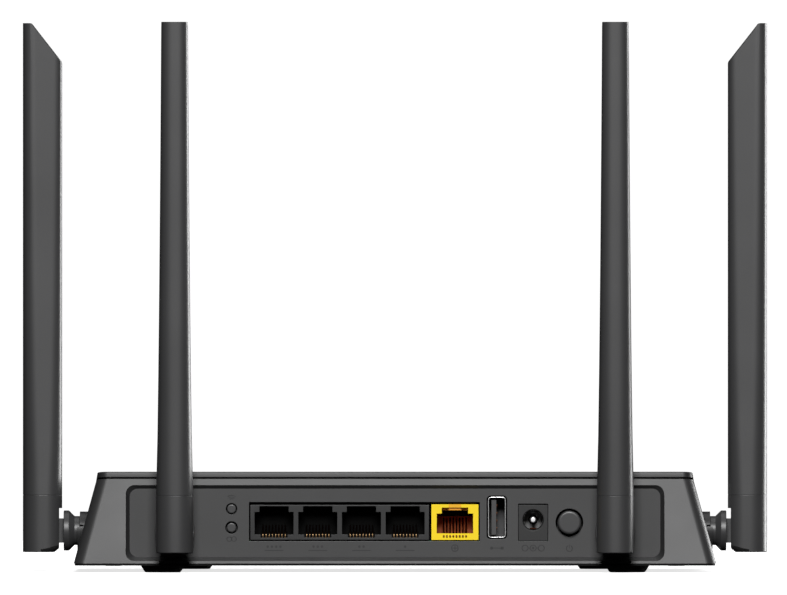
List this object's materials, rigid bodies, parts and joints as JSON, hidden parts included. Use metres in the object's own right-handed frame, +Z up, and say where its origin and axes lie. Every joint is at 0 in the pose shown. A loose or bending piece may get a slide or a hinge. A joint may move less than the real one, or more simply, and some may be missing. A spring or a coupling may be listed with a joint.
{
  "type": "wireless router",
  "caption": "Desktop wireless router with fold-out swivelling paddle antennas, a recessed rear panel of network, USB and power sockets, and push buttons.",
  "frame": {"origin": "middle of the bounding box's floor, on the desk surface", "axes": "+Z up, the socket panel faces -Y, +X to the right when looking at the sockets"},
  "size_m": [0.2388, 0.1486, 0.176],
  "materials": {
    "housing_plastic": "fine spark-eroded texture",
    "panel_plastic": "fine spark-eroded texture",
    "cover_plastic": "fine spark-eroded texture",
    "tray_plastic": "fine texture",
    "foot_rubber": "matt",
    "screw_steel": "zinc plated",
    "clear_plastic": "polished",
    "circuit_board": "green solder mask",
    "chip_plastic": "moulded epoxy",
    "thermal_silicone": "soft",
    "heat_sink_aluminium": "extruded",
    "tinned_steel": "tin plated",
    "capacitor_can": "sleeved",
    "led_plastic": "clear epoxy",
    "socket_plastic": "moulded",
    "yellow_plastic": "moulded",
    "gold_contact": "gold plated",
    "nickel_steel": "nickel plated",
    "button_plastic": "satin",
    "antenna_plastic": "fine texture",
    "cable_jacket": "smooth jacket",
    "radiator_copper": "bare copper"
  },
  "bodies": {
    "router_body": {"upper_housing": "housing_plastic", "rear_panel": "panel_plastic", "top_cover": "cover_plastic", "bottom_tray": "tray_plastic", "feet": "foot_rubber", "case_screws": "screw_steel", "board_screws": "screw_steel", "light_guide": "clear_plastic", "main_board": "circuit_board", "button_board": "circuit_board", "processor": "chip_plastic", "memory_chips": "chip_plastic", "lan_transformers": "chip_plastic", "thermal_pad": "thermal_silicone", "heat_sink": "heat_sink_aluminium", "rf_shields": "tinned_steel", "capacitors": "capacitor_can", "indicator_leds": "led_plastic", "lan_port_housing": "socket_plastic", "lan_contacts": "gold_contact", "wan_port_housing": "yellow_plastic", "wan_contacts": "gold_contact", "usb_shell": "nickel_steel", "usb_tongue": "socket_plastic", "usb_contacts": "gold_contact", "dc_jack_body": "socket_plastic", "dc_jack_pin": "nickel_steel", "dc_jack_spring": "gold_contact", "power_switch": "chip_plastic", "wifi_switch": "chip_plastic", "wps_switch": "chip_plastic", "coax_lead_side_left": "cable_jacket", "coax_lead_side_right": "cable_jacket", "coax_lead_rear_left": "cable_jacket", "coax_lead_rear_right": "cable_jacket"},
    "swivel_side_left": {"swivel_side_left": "antenna_plastic"},
    "antenna_side_left": {"antenna_base_side_left": "antenna_plastic", "antenna_sleeve_side_left": "antenna_plastic", "hinge_pin_side_left": "screw_steel", "radiator_side_left": "radiator_copper"},
    "swivel_side_right": {"swivel_side_right": "antenna_plastic"},
    "antenna_side_right": {"antenna_base_side_right": "antenna_plastic", "antenna_sleeve_side_right": "antenna_plastic", "hinge_pin_side_right": "screw_steel", "radiator_side_right": "radiator_copper"},
    "swivel_rear_left": {"swivel_rear_left": "antenna_plastic"},
    "antenna_rear_left": {"antenna_base_rear_left": "antenna_plastic", "antenna_sleeve_rear_left": "antenna_plastic", "hinge_pin_rear_left": "screw_steel", "radiator_rear_left": "radiator_copper"},
    "swivel_rear_right": {"swivel_rear_right": "antenna_plastic"},
    "antenna_rear_right": {"antenna_base_rear_right": "antenna_plastic", "antenna_sleeve_rear_right": "antenna_plastic", "hinge_pin_rear_right": "screw_steel", "radiator_rear_right": "radiator_copper"},
    "power_key": {"power_button": "button_plastic"},
    "wifi_key": {"wifi_button": "button_plastic"},
    "wps_key": {"wps_button": "button_plastic"}
  },
  "joints": [
    {"name": "turn_side_left", "type": "hinge", "parent": "router_body", "child": "swivel_side_left", "pos_m": [-0.1011, -0.03002, 0.0132], "axis": [1, 0, 0], "range_deg": [-90, 90]},
    {"name": "fold_side_left", "type": "hinge", "parent": "swivel_side_left", "child": "antenna_side_left", "pos_m": [-0.1136, -0.03002, 0.0132], "axis": [0, -1, 0], "range_deg": [0, 90]},
    {"name": "turn_side_right", "type": "hinge", "parent": "router_body", "child": "swivel_side_right", "pos_m": [0.1011, -0.03002, 0.0132], "axis": [1, 0, 0], "range_deg": [-90, 90]},
    {"name": "fold_side_right", "type": "hinge", "parent": "swivel_side_right", "child": "antenna_side_right", "pos_m": [0.1136, -0.03002, 0.0132], "axis": [0, 1, 0], "range_deg": [0, 90]},
    {"name": "turn_rear_left", "type": "hinge", "parent": "router_body", "child": "swivel_rear_left", "pos_m": [-0.0704, -0.05602, 0.0132], "axis": [0, -1, 0], "range_deg": [-20, 90]},
    {"name": "fold_rear_left", "type": "hinge", "parent": "swivel_rear_left", "child": "antenna_rear_left", "pos_m": [-0.0704, -0.06853, 0.0132], "axis": [1, 0, 0], "range_deg": [0, 90]},
    {"name": "turn_rear_right", "type": "hinge", "parent": "router_body", "child": "swivel_rear_right", "pos_m": [0.0704, -0.05602, 0.0132], "axis": [0, 1, 0], "range_deg": [-20, 90]},
    {"name": "fold_rear_right", "type": "hinge", "parent": "swivel_rear_right", "child": "antenna_rear_right", "pos_m": [0.0704, -0.06853, 0.0132], "axis": [1, 0, 0], "range_deg": [0, 90]},
    {"name": "press_power", "type": "slide", "parent": "router_body", "child": "power_key", "axis": [0, 1, 0], "range_m": [0, 0.002], "stiffness_N_per_m": 600, "springref_m": -0.0005},
    {"name": "press_wifi", "type": "slide", "parent": "router_body", "child": "wifi_key", "axis": [0, 1, 0], "range_m": [0, 0.0004], "stiffness_N_per_m": 3000, "springref_m": -0.0001},
    {"name": "press_wps", "type": "slide", "parent": "router_body", "child": "wps_key", "axis": [0, 1, 0], "range_m": [0, 0.0004], "stiffness_N_per_m": 3000, "springref_m": -0.0001}
  ]
}
